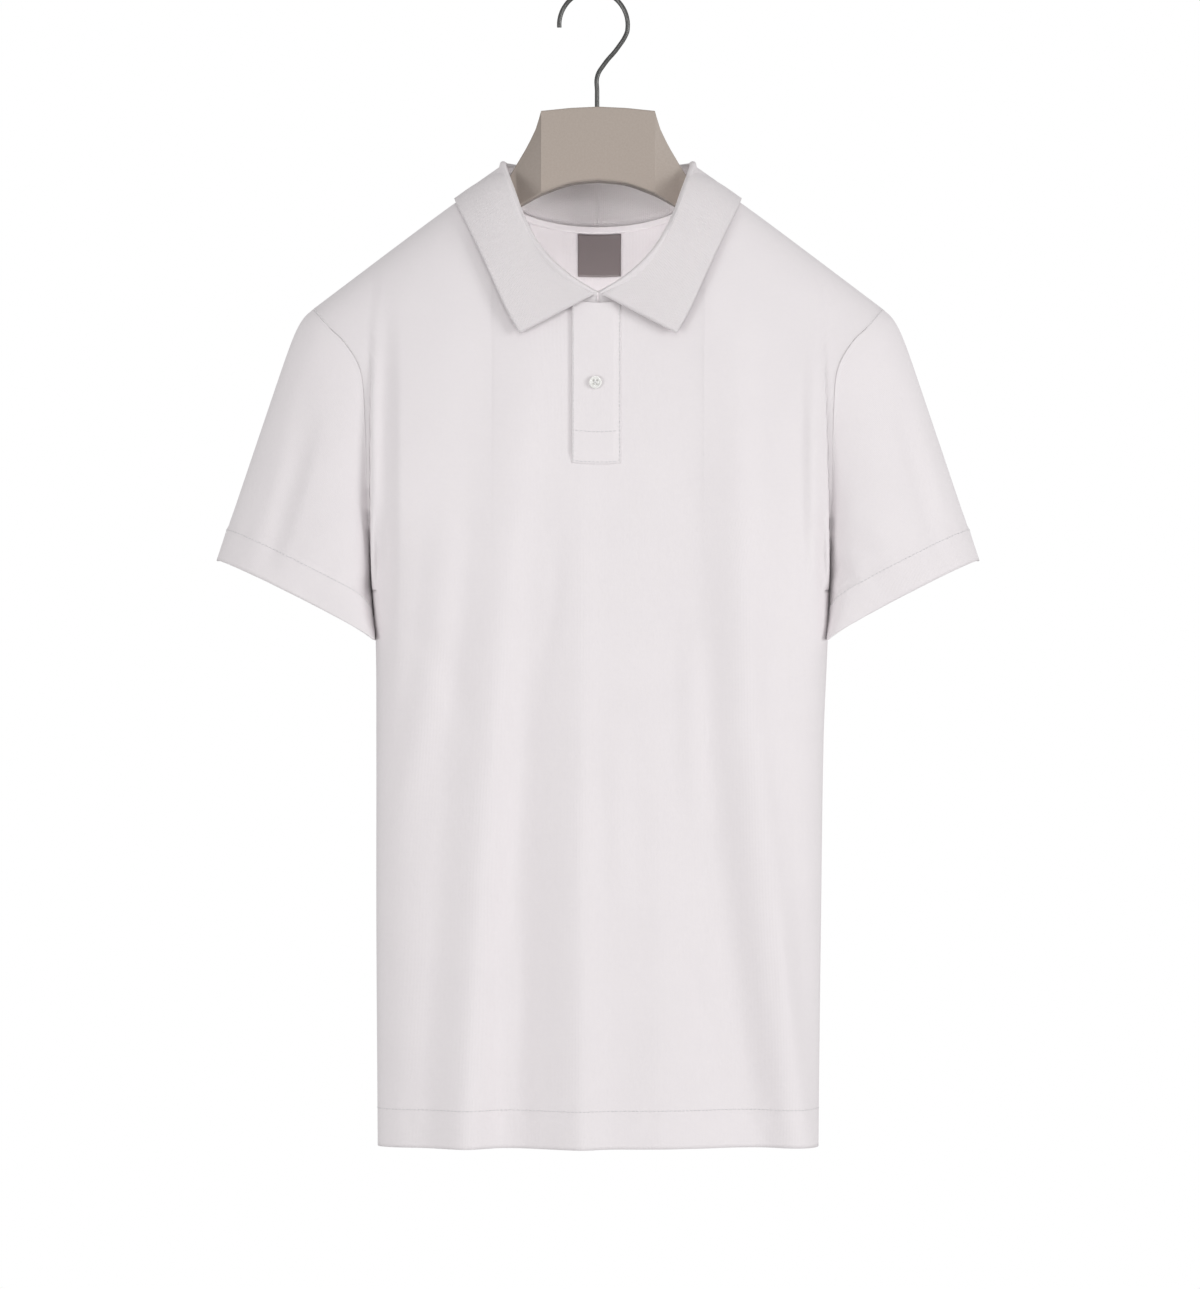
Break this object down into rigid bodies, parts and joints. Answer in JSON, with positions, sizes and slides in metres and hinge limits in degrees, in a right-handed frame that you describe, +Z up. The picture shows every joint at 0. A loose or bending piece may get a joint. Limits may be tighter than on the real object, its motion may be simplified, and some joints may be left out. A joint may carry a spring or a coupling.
{
  "type": "polo shirt on a hanger",
  "caption": "Short-sleeved white knit polo shirt with a fold-over collar and buttoned placket, hanging on a plastic hanger with a wire hook.",
  "frame": {"origin": "inside top of the hook, where the rail carries it", "axes": "+Z up, the shirt's front faces -Y, +X to the viewer's right"},
  "size_m": [0.5722, 0.1367, 0.867],
  "materials": {
    "knit_cloth": "fine cotton knit",
    "collar_rib": "flat rib knit",
    "neck_tape": "knit tape",
    "label_satin": "dark satin",
    "button": "pearly",
    "hanger": "soft matte",
    "hook_wire": "dark, half matte"
  },
  "bodies": {
    "root": {"front_panel": "knit_cloth", "back_panel": "knit_cloth", "sleeve_left": "knit_cloth", "sleeve_right": "knit_cloth", "collar": "collar_rib", "placket_upper": "knit_cloth", "placket_under": "knit_cloth", "neck_tape": "neck_tape", "neck_label": "label_satin", "button": "button", "hanger_body": "hanger", "hanger_hook": "hook_wire"}
  },
  "joints": []
}
